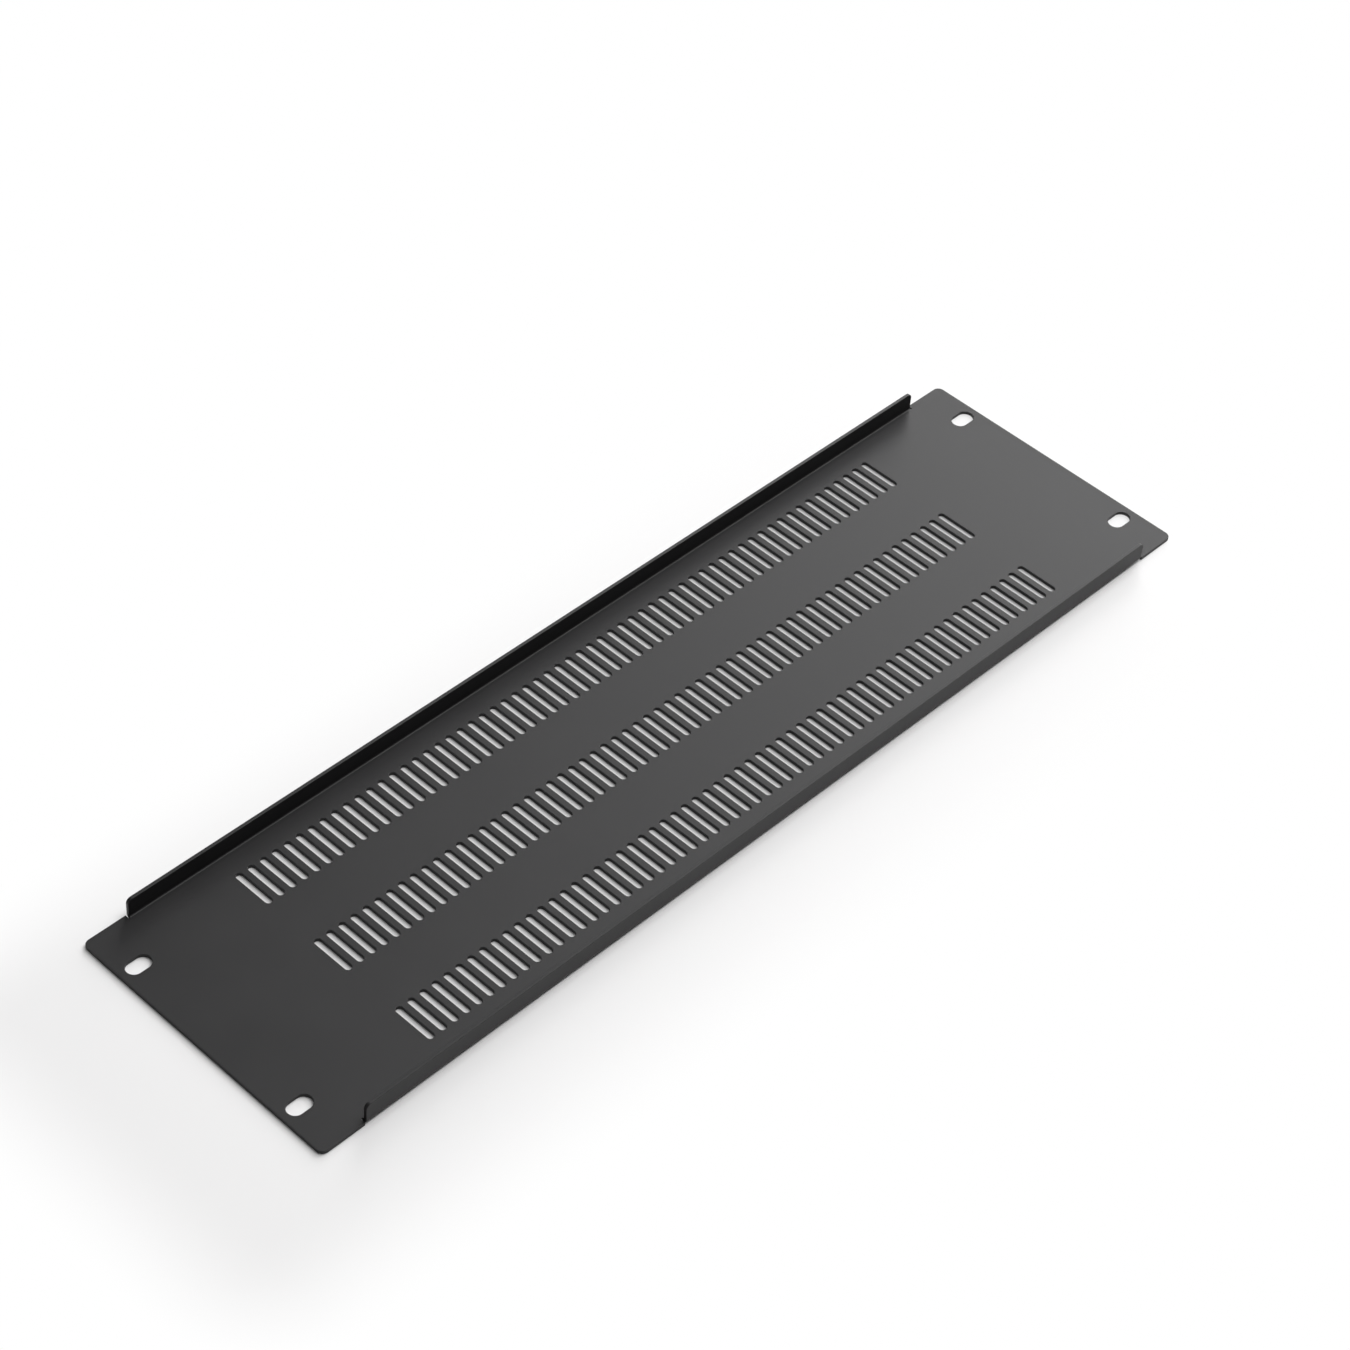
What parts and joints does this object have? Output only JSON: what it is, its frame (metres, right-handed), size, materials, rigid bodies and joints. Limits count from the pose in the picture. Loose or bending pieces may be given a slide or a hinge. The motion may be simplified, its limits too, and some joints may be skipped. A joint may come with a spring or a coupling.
{
  "type": "rack blanking panel",
  "caption": "Vented blanking panel for a 19-inch rack: flat folded steel sheet with slotted mounting ears, long-edge flanges and rows of upright vent slots.",
  "frame": {"origin": "centre of the panel's front face, which is the face the panel lies on", "axes": "+X along the panel's width, +Y up the rack across its height, +Z from the front face to the rear, the way the flanges point"},
  "size_m": [0.4826, 0.1324, 0.01],
  "materials": {
    "powder_coat": "fine satin textured black powder coat"
  },
  "bodies": {
    "root": {"panel": "powder_coat"}
  },
  "joints": []
}
